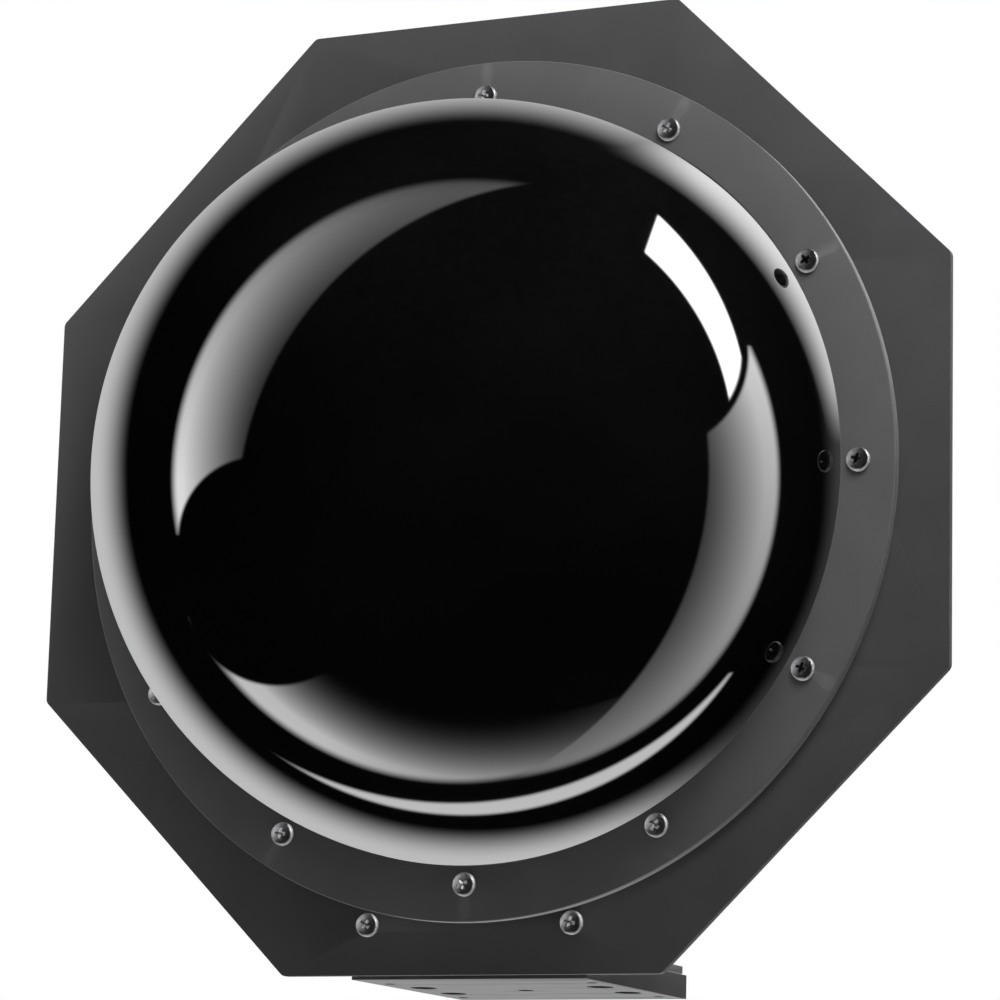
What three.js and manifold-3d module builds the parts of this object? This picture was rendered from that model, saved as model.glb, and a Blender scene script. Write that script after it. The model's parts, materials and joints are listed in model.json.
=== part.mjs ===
// Radar dome antenna: an octagonal face plate carries a glossy dome under a clamp ring, a sealed
// housing with a heat sink behind it, and a two-axis scanning array inside.
// Millimetres, +Z up. The dome looks along -Y. The origin is on the underside of the foot, on the
// centre line, INCH behind the front of the face plate.
import * as THREE from 'three';
import { mergeVertices } from 'three/addons/utils/BufferGeometryUtils.js';
import Module from 'manifold-3d';

// ---- Driving dimensions -------------------------------------------------------------------
const INCH = 25.4;
const SEAT = 0.1;                  // gap left between two flat faces that rest on each other
const FIT = 0.3;                   // radial gap round a shaft, a shank or a bearing

const PLATE_MARGIN = 17.6;         // clamp ring to the flats of the face plate
const PLATE_CORNER_RADIUS = 3;
const PLATE_THICKNESS = 3;
const PLATE_OPENING_INSET = 5.4;   // inner edge of the gaskets to the opening in the face plate
const PLATE_EDGE_ABOVE_BASE = 1.4; // lower edge of the face plate above the underside of the foot

const RING_EDGE = 0.5 * INCH;      // circle of screws to the ring's outer edge
const RING_HEIGHT = 4.4;
const RING_LIP = 4.8;              // width of the ring's outer lip, which bears on the plate
const RING_SCREWS = 12;

const DOME_RADIUS = 133;
const DOME_WALL = 4;
const DOME_CENTRE_FORWARD = 4.9;   // centre of the dome's sphere in front of the plate; a skirt behind it
const DOME_TO_HEADS = 2.6;         // gap between the dome and the heads of the ring's screws
const FLANGE_THICKNESS = 2;
const GASKET_THICKNESS = 0.8;
const GASKET_WIDTH = 5.3;
const GASKET_MARGIN = 1;           // gaskets to the screws outside them and the housing's hollow inside them

const M4 = { shank: 2, head: 4.1, height: 2.6 };
const M3 = { shank: 1.5, head: 2.8, height: 1.8 };

const HOUSING_WALL = 3.5;
const HOUSING_REAR_WALL = 4;
const HOUSING_DEPTH = 67.4;        // front of the face plate to the back of the rear wall
const HOUSING_FLANGE_EDGE = 7.3;   // circle of screws to the edge of the housing's flange
const HOUSING_FLANGE_THICKNESS = 5;

const SINK_SIDE_MARGIN = 49;       // side of the housing to the side of the heat sink
const SINK_TOP_MARGIN = 38;
const SINK_ABOVE_SOCKETS = 18;
const SINK_SCREW_INSET = { x: 6, z: 8 };
const SINK_BASE = 5;
const FIN_HEIGHT = 16;
const FIN_THICKNESS = 2;
const FIN_PITCH = 8.8;
const FIN_TO_SCREWS = 2;           // least gap between the outer fins and the screws beside them

const BLOCK_WIDTH = 87.6;
const BLOCK_DEPTH = 94.4;
const BLOCK_THICKNESS = 8.5;
const BRACKET_DEPTH = 90.3;
const BRACKET_THICKNESS = 2.8;
const BRACKET_TO_HOUSING = 0.5;    // top of the upright leg to the housing's flange
const GUSSET_THICKNESS = 4;
const GUSSET_SPACING = 36;
const GUSSET_LENGTH = 45;
const FOOT_SCREW_SPACING = 3 * INCH;
const FOOT_SCREW_HEIGHT = 18.7;
const FOOT_BOLT_HOLE = 4.7;        // radius, clears a 3/8 inch bolt
const FOOT_BOLT_SPACING_X = 67;
const FOOT_BOLT_SPACING_Y = 26;
const TRIPOD_HOLE = 2.8;           // radius, tapped 1/4 inch
const CORNER_SPACING_X = 76;
const CORNER_SPACING_Y = 63;
const FOOT_PATTERN_BACK = 50.6;    // centre of the hole pattern behind the front of the plate

const GIMBAL_BACK = -8.6;          // crossing of both axes, behind the front of the plate
const AZ_RANGE = 50;
const TILT_RANGE = 20;
const SECTOR_SPARE_ANGLE = 15;     // extra sector past the last tooth in mesh at a limit

const SWEEP_CLEARANCE = 10.8;      // rim of the moving array to the inside of the dome
const ARRAY_OFFSET = 55;           // tilt axis to the back of the array
const ARRAY_THICKNESS = 9;
const SLOT_LENGTH = 14;
const SLOT_WIDTH = 3;
const SLOT_DEPTH = 2;
const SLOT_PITCH_X = 24;
const SLOT_PITCH_Z = 19;
const SLOT_ROWS = 9;

const YOKE_HALF_WIDTH = 42;
const YOKE_WALL = 6;
const YOKE_TOP_RADIUS = 17;
const YOKE_REAR = 36;
const YOKE_MOTOR_TOP = -18;
const YOKE_FLOOR = -50;            // top of the yoke's base, from the tilt axis

const SHELF_TOP = -64;             // top of the gimbal base's shelf, from the tilt axis
const SHELF_THICKNESS = 8;
const SHELF_HALF_WIDTH = 42;
const BOSS_WALL = 4;
const BOSS_HEIGHT = 34;
const BASE_BACK_BOTTOM = -98;
const BASE_BACK_TOP = -20;
const BASE_BACK_THICKNESS = 5.6;
const BASE_SCREW_X = 35;
const BASE_SCREW_LOW = -90;
const BASE_SCREW_HIGH = -30;
const BOSS_PAD = 4;                // height of the bosses the gimbal base is screwed to

const AZ_BEARING = { bore: 7.5, radius: 16, width: 9 };
const TILT_BEARING = { bore: 5, radius: 11, width: 6 };
const LOCK_NUT_HEIGHT = 6;
const LOCK_NUT_RADIUS = 13;

const PRESSURE_ANGLE = THREE.MathUtils.degToRad(20);
const BACKLASH = 0.5;
const ADDENDUM_FACTOR = 0.9;
const DEDENDUM_FACTOR = 1.25;
const AZ_GEAR = { module: 2, teeth: 44, pinionTeeth: 14, width: 5.6, driveAngle: 45 };
const TILT_GEAR = { module: 1.5, teeth: 42, pinionTeeth: 14, width: 6, driveAngle: 37 };
const AZ_MOTOR = { radius: 16, length: 36, shaft: 3, shaftDepth: 10 };
const TILT_MOTOR = { radius: 11, length: 30, shaft: 2, shaftDepth: 8 };

const FINE = 48;                   // facets round large parts
const MEDIUM = 24;                 // facets round bearings, motors and hubs
const COARSE = 10;                 // facets round screw heads
const HOLE = 8;                    // facets round small holes and hidden screws

// ---- Derived places -----------------------------------------------------------------------
const SCREW_CIRCLE_RADIUS = DOME_RADIUS + DOME_TO_HEADS + M4.head;
const RING_OUTER_RADIUS = SCREW_CIRCLE_RADIUS + RING_EDGE;
const PLATE_APOTHEM = RING_OUTER_RADIUS + PLATE_MARGIN;
const AXIS_HEIGHT = PLATE_APOTHEM + PLATE_EDGE_ABOVE_BASE;
const FACE_Y = -INCH;
const HOUSING_FRONT = PLATE_THICKNESS + SEAT + GASKET_THICKNESS + SEAT;
const REAR_WALL_INSIDE = HOUSING_DEPTH - HOUSING_REAR_WALL;
const FLANGE_FRONT = GASKET_THICKNESS + SEAT + FLANGE_THICKNESS;
const DOME_FLANGE_RADIUS = RING_OUTER_RADIUS - RING_LIP - FIT;
// Both gaskets lie inside the circle of screws, and the corners of the housing's hollow inside the gaskets.
const GASKET_OUTER_RADIUS = SCREW_CIRCLE_RADIUS - M4.shank - GASKET_MARGIN;
const GASKET_INNER_RADIUS = GASKET_OUTER_RADIUS - GASKET_WIDTH;
const PLATE_OPENING_RADIUS = GASKET_INNER_RADIUS - PLATE_OPENING_INSET;
const HOLLOW_APOTHEM = (GASKET_INNER_RADIUS - GASKET_MARGIN) * Math.cos(Math.PI / 8);
const HOUSING_APOTHEM = HOLLOW_APOTHEM + HOUSING_WALL;
const HOUSING_FLANGE_RADIUS = SCREW_CIRCLE_RADIUS + HOUSING_FLANGE_EDGE;
const BRACKET_LEG_TOP = AXIS_HEIGHT - HOUSING_FLANGE_RADIUS - BRACKET_TO_HOUSING;
const WALL_FROM_GIMBAL = REAR_WALL_INSIDE - GIMBAL_BACK;
// The array's rim moves on a sphere round the crossing of both axes, inside the dome's sphere.
const SWEEP_RADIUS = DOME_RADIUS - DOME_WALL - Math.abs(GIMBAL_BACK + DOME_CENTRE_FORWARD) - SWEEP_CLEARANCE;
const ARRAY_RADIUS = Math.sqrt(SWEEP_RADIUS ** 2 - (ARRAY_OFFSET + ARRAY_THICKNESS) ** 2);

// ---- Materials ----------------------------------------------------------------------------
const finish = (color, roughness, metalness) =>
  new THREE.MeshStandardMaterial({ color, roughness, metalness });
const blackCoat = finish(0x2c2c2e, 0.55, 0.2);
const ringCoat = finish(0x3a3a3c, 0.5, 0.2);
const domeGloss = finish(0x050506, 0.06, 0);
const screwBlack = finish(0x18181a, 0.25, 0.9);
const footMetal = finish(0x6e6e70, 0.5, 0.6);
const gasketRubber = finish(0x151515, 0.9, 0);
const castMetal = finish(0x8b8d90, 0.5, 0.8);
const steel = finish(0xb0b2b5, 0.3, 1);
const brass = finish(0xb59a55, 0.35, 1);
const boardGreen = finish(0x1f5a35, 0.6, 0);
const motorBlack = finish(0x242426, 0.4, 0.5);

// ---- Solid helpers ------------------------------------------------------------------------
const wasm = await Module();
wasm.setup();

function signedVolume(position, triangles) {
  const a = new THREE.Vector3();
  const b = new THREE.Vector3();
  const c = new THREE.Vector3();
  let total = 0;
  for (let i = 0; i < triangles.length; i += 3) {
    a.fromArray(position, 3 * triangles[i]);
    b.fromArray(position, 3 * triangles[i + 1]);
    c.fromArray(position, 3 * triangles[i + 2]);
    total += a.dot(b.cross(c));
  }
  return total / 6;
}

// A three.js geometry as a closed solid: shared vertices, no slivers, faces out.
function solid(geometry) {
  const bare = geometry.clone();
  bare.deleteAttribute('normal');
  bare.deleteAttribute('uv');
  const merged = mergeVertices(bare, 1e-4);
  const position = merged.attributes.position.array;
  const index = merged.index.array;
  const kept = [];
  for (let i = 0; i < index.length; i += 3) {
    const [a, b, c] = index.slice(i, i + 3);
    if (a !== b && b !== c && c !== a) kept.push(a, b, c);
  }
  if (signedVolume(position, kept) < 0) kept.reverse();
  return new wasm.Manifold(new wasm.Mesh({
    numProp: 3,
    vertProperties: new Float32Array(position),
    triVerts: new Uint32Array(kept),
  }));
}

const join = (first, ...others) => others.reduce((whole, part) => whole.add(part), first);
const cut = (first, ...others) => others.reduce((whole, part) => whole.subtract(part), first);

function box(x0, x1, y0, y1, z0, z1) {
  const geometry = new THREE.BoxGeometry(x1 - x0, y1 - y0, z1 - z0);
  return solid(geometry.translate((x0 + x1) / 2, (y0 + y1) / 2, (z0 + z1) / 2));
}

// Turns geometry made round the Y axis so that its axis points along X, Y or Z.
function alongAxis(geometry, axis) {
  if (axis === 'x') return geometry.rotateZ(-Math.PI / 2);
  if (axis === 'z') return geometry.rotateX(Math.PI / 2);
  return geometry;
}

// A cylinder from one place to another along an axis, at (u, v) on the other two axes.
function rod(axis, radius, from, to, u = 0, v = 0, facets = HOLE) {
  const geometry = new THREE.CylinderGeometry(radius, radius, to - from, facets);
  geometry.translate(0, (from + to) / 2, 0);
  alongAxis(geometry, axis);
  if (axis === 'x') geometry.translate(0, u, v);
  if (axis === 'y') geometry.translate(u, 0, v);
  if (axis === 'z') geometry.translate(u, v, 0);
  return solid(geometry);
}

// A tool for cutting a hole: even its flats clear the radius.
function bore(axis, radius, from, to, u = 0, v = 0, facets = HOLE) {
  return rod(axis, radius / Math.cos(Math.PI / facets), from, to, u, v, facets);
}

// A closed profile of [radius, place along the axis] points turned round an axis.
function turned(profile, axis, facets) {
  const points = profile.map(([radius, place]) => new THREE.Vector2(radius, place));
  return solid(alongAxis(new THREE.LatheGeometry(points, facets), axis));
}

function tube(axis, inner, outer, from, to, facets) {
  return turned([[inner, from], [outer, from], [outer, to], [inner, to], [inner, from]], axis, facets);
}

// A flat shape given thickness: drawn in XZ for axis y, in YZ for axis x, in XY for axis z.
function slab(shape, axis, from, to) {
  const geometry = new THREE.ExtrudeGeometry(shape, { depth: to - from, bevelEnabled: false });
  if (axis === 'y') geometry.rotateX(Math.PI / 2).translate(0, to, 0);
  if (axis === 'z') geometry.translate(0, 0, from);
  if (axis === 'x') {
    const turn = new THREE.Matrix4().makeBasis(
      new THREE.Vector3(0, 1, 0), new THREE.Vector3(0, 0, 1), new THREE.Vector3(1, 0, 0));
    geometry.applyMatrix4(turn).translate(from, 0, 0);
  }
  return solid(geometry);
}

const outline = (points) => new THREE.Shape(points.map(([u, v]) => new THREE.Vector2(u, v)));

function octagon(apothem, cornerRadius = 0, steps = 4) {
  const points = [];
  const corner = (apothem - cornerRadius) / Math.cos(Math.PI / 8);
  for (let i = 0; i < 8; i += 1) {
    const middle = (i + 0.5) * Math.PI / 4;
    const count = cornerRadius > 0 ? steps : 0;
    for (let k = 0; k <= count; k += 1) {
      const angle = middle + (count > 0 ? (k / count - 0.5) * Math.PI / 4 : 0);
      points.push([
        corner * Math.cos(middle) + cornerRadius * Math.cos(angle),
        corner * Math.sin(middle) + cornerRadius * Math.sin(angle)]);
    }
  }
  return outline(points);
}

// Places evenly spaced on a circle, as [x, z].
function onCircle(radius, count) {
  return Array.from({ length: count }, (unused, i) => {
    const angle = i * 2 * Math.PI / count;
    return [radius * Math.cos(angle), radius * Math.sin(angle)];
  });
}

const corners = (x, z0, z1) => [[-x, z0], [x, z0], [-x, z1], [x, z1]];

function piece(name, body, material) {
  const mesh = body.getMesh();
  const geometry = new THREE.BufferGeometry();
  geometry.setAttribute('position', new THREE.BufferAttribute(mesh.vertProperties, 3));
  geometry.setIndex(new THREE.BufferAttribute(mesh.triVerts, 1));
  const result = new THREE.Mesh(geometry, material);
  result.name = name;
  return result;
}

// ---- Screws -------------------------------------------------------------------------------
// Each shank runs along +Y and its head stands on y = 0.
function screwBody(size, length, crown, facets) {
  const { shank, head, height } = size;
  return turned([
    [0, length], [shank, length], [shank, 0], [head, 0], [head, -0.55 * height],
    [crown * head, -height], [0, -height], [0, length]], 'y', facets);
}

// Pan-head screw with a cross recess.
function crossScrew(name, size, length, material) {
  const slot = 0.14 * size.head;
  const reach = 0.5 * size.head;
  const floor = -0.4 * size.height;
  return piece(name, cut(screwBody(size, length, 0.6, COARSE),
    box(-reach, reach, -2 * size.height, floor, -slot, slot),
    box(-slot, slot, -2 * size.height, floor, -reach, reach)), material);
}

const plainScrew = (name, size, length, material) =>
  piece(name, screwBody(size, length, 0.85, HOLE), material);

// ---- Dome, ring and face plate (places from the front of the plate and the dome's axis) ----
const screwPlaces = onCircle(SCREW_CIRCLE_RADIUS, RING_SCREWS);
const screwHoles = (from, to) => screwPlaces.map(([x, z]) => bore('y', M4.shank + FIT, from, to, x, z));

function facePlate() {
  const footHoles = [-1, 1].map((side) =>
    bore('y', M4.shank + FIT, -1, PLATE_THICKNESS + 1,
      side * FOOT_SCREW_SPACING / 2, FOOT_SCREW_HEIGHT - AXIS_HEIGHT));
  const sheet = slab(octagon(PLATE_APOTHEM, PLATE_CORNER_RADIUS), 'y', 0, PLATE_THICKNESS);
  const opening = bore('y', PLATE_OPENING_RADIUS, -1, PLATE_THICKNESS + 1, 0, 0, FINE);
  const holes = [...screwHoles(-1, PLATE_THICKNESS + 1), ...footHoles];
  return piece('face_plate', cut(sheet, opening, ...holes), blackCoat);
}

function clampRing() {
  const web = -FLANGE_FRONT - SEAT;
  const inner = DOME_RADIUS + FIT;
  const lip = RING_OUTER_RADIUS - RING_LIP;
  const body = turned([
    [inner, -RING_HEIGHT], [RING_OUTER_RADIUS, -RING_HEIGHT], [RING_OUTER_RADIUS, -SEAT],
    [lip, -SEAT], [lip, web], [inner, web], [inner, -RING_HEIGHT]], 'y', 72);
  return piece('clamp_ring', cut(body, ...screwHoles(-RING_HEIGHT - 1, 1)), ringCoat);
}

function radome() {
  const steps = 11;
  const back = -GASKET_THICKNESS - SEAT;
  const profile = [];
  for (let i = 0; i <= steps; i += 1) {
    const angle = i / steps * Math.PI / 2;
    profile.push([DOME_RADIUS * Math.sin(angle), -DOME_CENTRE_FORWARD - DOME_RADIUS * Math.cos(angle)]);
  }
  profile.push([DOME_RADIUS, -FLANGE_FRONT], [DOME_FLANGE_RADIUS, -FLANGE_FRONT], [DOME_FLANGE_RADIUS, back]);
  const inside = DOME_RADIUS - DOME_WALL;
  profile.push([inside, back]);
  for (let i = steps; i >= 0; i -= 1) {
    const angle = i / steps * Math.PI / 2;
    profile.push([inside * Math.sin(angle), -DOME_CENTRE_FORWARD - inside * Math.cos(angle)]);
  }
  profile.push(profile[0]);
  return piece('radome', cut(turned(profile, 'y', FINE), ...screwHoles(-FLANGE_FRONT - 1, 1)), domeGloss);
}

function radomeGasket() {
  return piece('radome_gasket',
    tube('y', GASKET_INNER_RADIUS, GASKET_OUTER_RADIUS, -GASKET_THICKNESS, -SEAT, FINE), gasketRubber);
}

function ringScrews() {
  const length = RING_HEIGHT + HOUSING_FRONT + HOUSING_FLANGE_THICKNESS - 1;
  return screwPlaces.map(([x, z], i) => {
    const name = `ring_screw_${String(i + 1).padStart(2, '0')}`;
    const screw = crossScrew(name, M4, length, screwBlack);
    screw.position.set(x, -RING_HEIGHT - SEAT, z);
    return screw;
  });
}

// ---- Rear housing -------------------------------------------------------------------------
const SOCKET_X = SHELF_HALF_WIDTH + 18;          // clear of the gimbal's base inside
const SOCKET_Z = -(HOUSING_APOTHEM - 54);
const POWER = { x: -SOCKET_X, z: SOCKET_Z, barrel: 9.5, length: 18, flange: 14, cable: 6 };
const DATA = { x: SOCKET_X, z: SOCKET_Z, barrel: 8, length: 16, flange: 12, cable: 5 };
const VENT = { x: 0, z: -(HOUSING_APOTHEM - 40), radius: 7, height: 6, stem: 3 };
const GROUND = { x: 0, z: -(HOUSING_APOTHEM - 66), radius: 2.5, length: 13 };
const SOCKET_FLANGE_THICKNESS = 3;
const SOCKET_RECESS = 2;
const SOCKET_RIM = 2;              // wall round a socket's recess
const SOCKET_TAIL = 8;             // length of a socket behind the wall
const SINK_HALF_WIDTH = HOUSING_APOTHEM - SINK_SIDE_MARGIN;
const SINK_TOP = HOUSING_APOTHEM - SINK_TOP_MARGIN;
const SINK_BOTTOM = SOCKET_Z + POWER.flange + SINK_ABOVE_SOCKETS;
const sinkScrewPlaces = corners(
  SINK_HALF_WIDTH - SINK_SCREW_INSET.x, SINK_BOTTOM + SINK_SCREW_INSET.z, SINK_TOP - SINK_SCREW_INSET.z);
const finReach = SINK_HALF_WIDTH - SINK_SCREW_INSET.x - M4.head - FIN_TO_SCREWS - FIN_THICKNESS / 2;
const FIN_COUNT = 2 * Math.floor(finReach / FIN_PITCH) + 1;
const baseScrewPlaces = corners(BASE_SCREW_X, BASE_SCREW_LOW, BASE_SCREW_HIGH);
const BOARD = {
  x: SINK_HALF_WIDTH - 5, bottom: 14, top: SINK_TOP - 6, thickness: 1.6, standoff: 6.4, inset: 6,
};
const boardCorners = corners(BOARD.x - BOARD.inset, BOARD.bottom + BOARD.inset, BOARD.top - BOARD.inset);
const BOARD_SHIELD = { left: 22, right: 24, low: 16, high: 14, height: 5 };
const BOARD_HEADER = { near: 8, far: 32, low: 18, high: 28, height: 8 };
const BOARD_CHOKES = { near: 10, far: 30, low: 34, high: 14, height: 9 };
const MODULE = { left: -80, right: -50, bottom: -54, top: 2, depth: 22 };
const MODULE_TERMINALS = { inset: 4, low: 6, high: 20, height: 4 };
const BOSS_RADIUS = 7;             // bosses that carry the gimbal's base
const STANDOFF_RADIUS = 3.5;
const TUB_CORNER_RADIUS = 6;
const DEEP_THREAD = 2.5;           // length of screw held in a wall that it doesn't pierce

function housingGasket() {
  const front = PLATE_THICKNESS + SEAT;
  return piece('housing_gasket',
    tube('y', GASKET_INNER_RADIUS, GASKET_OUTER_RADIUS, front, front + GASKET_THICKNESS, FINE), gasketRubber);
}

function rearHousing() {
  const flangeBack = HOUSING_FRONT + HOUSING_FLANGE_THICKNESS;
  const flange = rod('y', HOUSING_FLANGE_RADIUS, HOUSING_FRONT, flangeBack, 0, 0, FINE);
  const shell = slab(octagon(HOUSING_APOTHEM, TUB_CORNER_RADIUS, 2), 'y', HOUSING_FRONT, HOUSING_DEPTH);
  const hollow = slab(octagon(HOLLOW_APOTHEM), 'y', HOUSING_FRONT - 1, REAR_WALL_INSIDE);
  const bosses = baseScrewPlaces.map(([x, z]) =>
    rod('y', BOSS_RADIUS, REAR_WALL_INSIDE - BOSS_PAD, REAR_WALL_INSIDE + 1, x, z));
  const standoffs = boardCorners.map(([x, z]) =>
    rod('y', STANDOFF_RADIUS, REAR_WALL_INSIDE - BOARD.standoff, REAR_WALL_INSIDE + 1, x, z));
  const tub = join(cut(join(flange, shell), hollow), ...bosses, ...standoffs);
  const sinkHoles = sinkScrewPlaces.map(([x, z]) =>
    bore('y', M4.shank + FIT, HOUSING_DEPTH - DEEP_THREAD - FIT, HOUSING_DEPTH + 1, x, z));
  const baseHoles = baseScrewPlaces.map(([x, z]) =>
    bore('y', M4.shank + FIT, REAR_WALL_INSIDE - BOSS_PAD - 1, REAR_WALL_INSIDE + DEEP_THREAD, x, z));
  const cableHoles = [POWER, DATA].map((socket) =>
    bore('y', socket.cable + FIT, REAR_WALL_INSIDE - 1, HOUSING_DEPTH + 1, socket.x, socket.z));
  const ventHole = bore('y', VENT.stem + FIT, REAR_WALL_INSIDE - 1, HOUSING_DEPTH + 1, VENT.x, VENT.z);
  const groundHole = bore('y', GROUND.radius + FIT,
    REAR_WALL_INSIDE - 1, HOUSING_DEPTH + 1, GROUND.x, GROUND.z);
  return piece('rear_housing', cut(tub, ...screwHoles(0, flangeBack - FIT), ...sinkHoles, ...baseHoles,
    ...cableHoles, ventHole, groundHole), blackCoat);
}

function heatSink() {
  const front = HOUSING_DEPTH + SEAT;
  const back = front + SINK_BASE;
  const base = box(-SINK_HALF_WIDTH, SINK_HALF_WIDTH, front, back, SINK_BOTTOM, SINK_TOP);
  const fins = Array.from({ length: FIN_COUNT }, (unused, i) => {
    const x = (i - (FIN_COUNT - 1) / 2) * FIN_PITCH;
    return box(x - FIN_THICKNESS / 2, x + FIN_THICKNESS / 2,
      back - 1, back + FIN_HEIGHT, SINK_BOTTOM, SINK_TOP);
  });
  const holes = sinkScrewPlaces.map(([x, z]) => bore('y', M4.shank + FIT, front - 1, back + 1, x, z));
  return piece('heatsink', cut(join(base, ...fins), ...holes), blackCoat);
}

function sinkScrews() {
  return sinkScrewPlaces.map(([x, z], i) => {
    const screw = plainScrew(`heatsink_screw_${i + 1}`, M4, SINK_BASE + SEAT + DEEP_THREAD, screwBlack);
    screw.rotation.z = Math.PI;
    screw.position.set(x, HOUSING_DEPTH + 2 * SEAT + SINK_BASE, z);
    return screw;
  });
}

// Round panel connector: a square flange on the wall, a threaded barrel and a tail inside.
function connector(name, socket) {
  const wall = HOUSING_DEPTH + SEAT;
  const face = wall + SOCKET_FLANGE_THICKNESS;
  const end = face + socket.length;
  const body = join(
    box(-socket.flange, socket.flange, wall, face, -socket.flange, socket.flange),
    rod('y', socket.barrel, face - 1, end, 0, 0, MEDIUM),
    rod('y', socket.cable, REAR_WALL_INSIDE - SOCKET_TAIL, wall + 1, 0, 0, MEDIUM));
  const recess = bore('y', socket.barrel - SOCKET_RIM, end - SOCKET_RECESS, end + 1, 0, 0, MEDIUM);
  const result = piece(name, cut(body, recess), castMetal);
  result.position.set(socket.x, 0, socket.z);
  return result;
}

function breatherVent() {
  const wall = HOUSING_DEPTH + SEAT;
  const body = join(
    rod('y', VENT.radius, wall, wall + VENT.height, VENT.x, VENT.z, 6),
    rod('y', VENT.stem, REAR_WALL_INSIDE - 3, wall + 1, VENT.x, VENT.z));
  return piece('breather_vent', body, motorBlack);
}

function groundStud() {
  const wall = HOUSING_DEPTH + SEAT;
  const body = join(
    rod('y', GROUND.radius, REAR_WALL_INSIDE - 2, wall + GROUND.length, GROUND.x, GROUND.z),
    rod('y', 2 * GROUND.radius, wall, wall + 4, GROUND.x, GROUND.z, 6));
  return piece('ground_stud', body, brass);
}

function mainBoard() {
  const back = REAR_WALL_INSIDE - BOARD.standoff - SEAT;
  const front = back - BOARD.thickness;
  const sheet = box(-BOARD.x, BOARD.x, front, back, BOARD.bottom, BOARD.top);
  const shield = box(-BOARD_SHIELD.left, BOARD_SHIELD.right, front - BOARD_SHIELD.height, front + 1,
    BOARD.bottom + BOARD_SHIELD.low, BOARD.top - BOARD_SHIELD.high);
  const header = box(BOARD.x - BOARD_HEADER.far, BOARD.x - BOARD_HEADER.near,
    front - BOARD_HEADER.height, front + 1, BOARD.bottom + BOARD_HEADER.low, BOARD.bottom + BOARD_HEADER.high);
  const chokes = box(BOARD_CHOKES.near - BOARD.x, BOARD_CHOKES.far - BOARD.x,
    front - BOARD_CHOKES.height, front + 1, BOARD.top - BOARD_CHOKES.low, BOARD.top - BOARD_CHOKES.high);
  return piece('main_board', join(sheet, shield, header, chokes), boardGreen);
}

function powerModule() {
  const back = REAR_WALL_INSIDE - SEAT;
  const front = back - MODULE.depth;
  const { inset, low, high, height } = MODULE_TERMINALS;
  return piece('power_module', join(
    box(MODULE.left, MODULE.right, front, back, MODULE.bottom, MODULE.top),
    box(MODULE.left + inset, MODULE.right - inset, front - height, front + 1,
      MODULE.bottom + low, MODULE.bottom + high)), castMetal);
}

// ---- Foot (places from the underside of the foot) -----------------------------------------
const patternY = FACE_Y + FOOT_PATTERN_BACK;
const BRACKET_BOTTOM = BLOCK_THICKNESS + SEAT;
const BRACKET_TOP = BRACKET_BOTTOM + BRACKET_THICKNESS;

function grid(spacingX, spacingY) {
  const places = [];
  for (const x of [-spacingX / 2, spacingX / 2]) {
    for (const y of [-spacingY / 2, spacingY / 2]) places.push([x, patternY + y]);
  }
  return places;
}

const boltPlaces = grid(FOOT_BOLT_SPACING_X, FOOT_BOLT_SPACING_Y);
const cornerPlaces = grid(CORNER_SPACING_X, CORNER_SPACING_Y);

function footBlock() {
  const behindPlate = FACE_Y + PLATE_THICKNESS + SEAT;
  const lipTop = PLATE_EDGE_ABOVE_BASE - SEAT;
  const side = outline([
    [FACE_Y, 0], [FACE_Y + BLOCK_DEPTH, 0], [FACE_Y + BLOCK_DEPTH, BLOCK_THICKNESS],
    [behindPlate, BLOCK_THICKNESS], [behindPlate, lipTop], [FACE_Y, lipTop]]);
  const holes = [
    ...boltPlaces.map(([x, y]) => bore('z', FOOT_BOLT_HOLE, -1, BLOCK_THICKNESS + 1, x, y, 16)),
    ...cornerPlaces.map(([x, y]) => bore('z', M3.shank + FIT, -1, BLOCK_THICKNESS + 1, x, y)),
    bore('z', TRIPOD_HOLE, -1, BLOCK_THICKNESS + 1, 0, patternY, 12)];
  return piece('foot_block', cut(slab(side, 'x', -BLOCK_WIDTH / 2, BLOCK_WIDTH / 2), ...holes), footMetal);
}

function footBracket() {
  const front = FACE_Y + PLATE_THICKNESS + SEAT;
  const legBack = front + BRACKET_THICKNESS;
  const end = FACE_Y + BRACKET_DEPTH;
  const side = outline([
    [front, BRACKET_BOTTOM], [end, BRACKET_BOTTOM], [end, BRACKET_TOP],
    [legBack, BRACKET_TOP], [legBack, BRACKET_LEG_TOP], [front, BRACKET_LEG_TOP]]);
  const rib = outline([
    [legBack - 1, BRACKET_TOP - 1], [legBack + GUSSET_LENGTH, BRACKET_TOP - 1],
    [legBack + GUSSET_LENGTH, BRACKET_TOP], [legBack, BRACKET_LEG_TOP], [legBack - 1, BRACKET_LEG_TOP]]);
  const ribs = [-1, 1].map((sign) => {
    const x = sign * GUSSET_SPACING / 2;
    return slab(rib, 'x', x - GUSSET_THICKNESS / 2, x + GUSSET_THICKNESS / 2);
  });
  const holes = [
    ...boltPlaces.map(([x, y]) =>
      bore('z', FOOT_BOLT_HOLE + FIT, BRACKET_BOTTOM - 1, BRACKET_LEG_TOP, x, y, 16)),
    ...cornerPlaces.map(([x, y]) => bore('z', M3.shank + FIT, BRACKET_BOTTOM - 1, BRACKET_LEG_TOP, x, y)),
    bore('z', TRIPOD_HOLE + FIT, BRACKET_BOTTOM - 1, BRACKET_LEG_TOP, 0, patternY, 12),
    ...[-1, 1].map((sign) => bore('y', M4.shank + FIT, front - 1, legBack + 1,
      sign * FOOT_SCREW_SPACING / 2, FOOT_SCREW_HEIGHT))];
  const angle = join(slab(side, 'x', -BLOCK_WIDTH / 2, BLOCK_WIDTH / 2), ...ribs);
  return piece('foot_bracket', cut(angle, ...holes), blackCoat);
}

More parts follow.
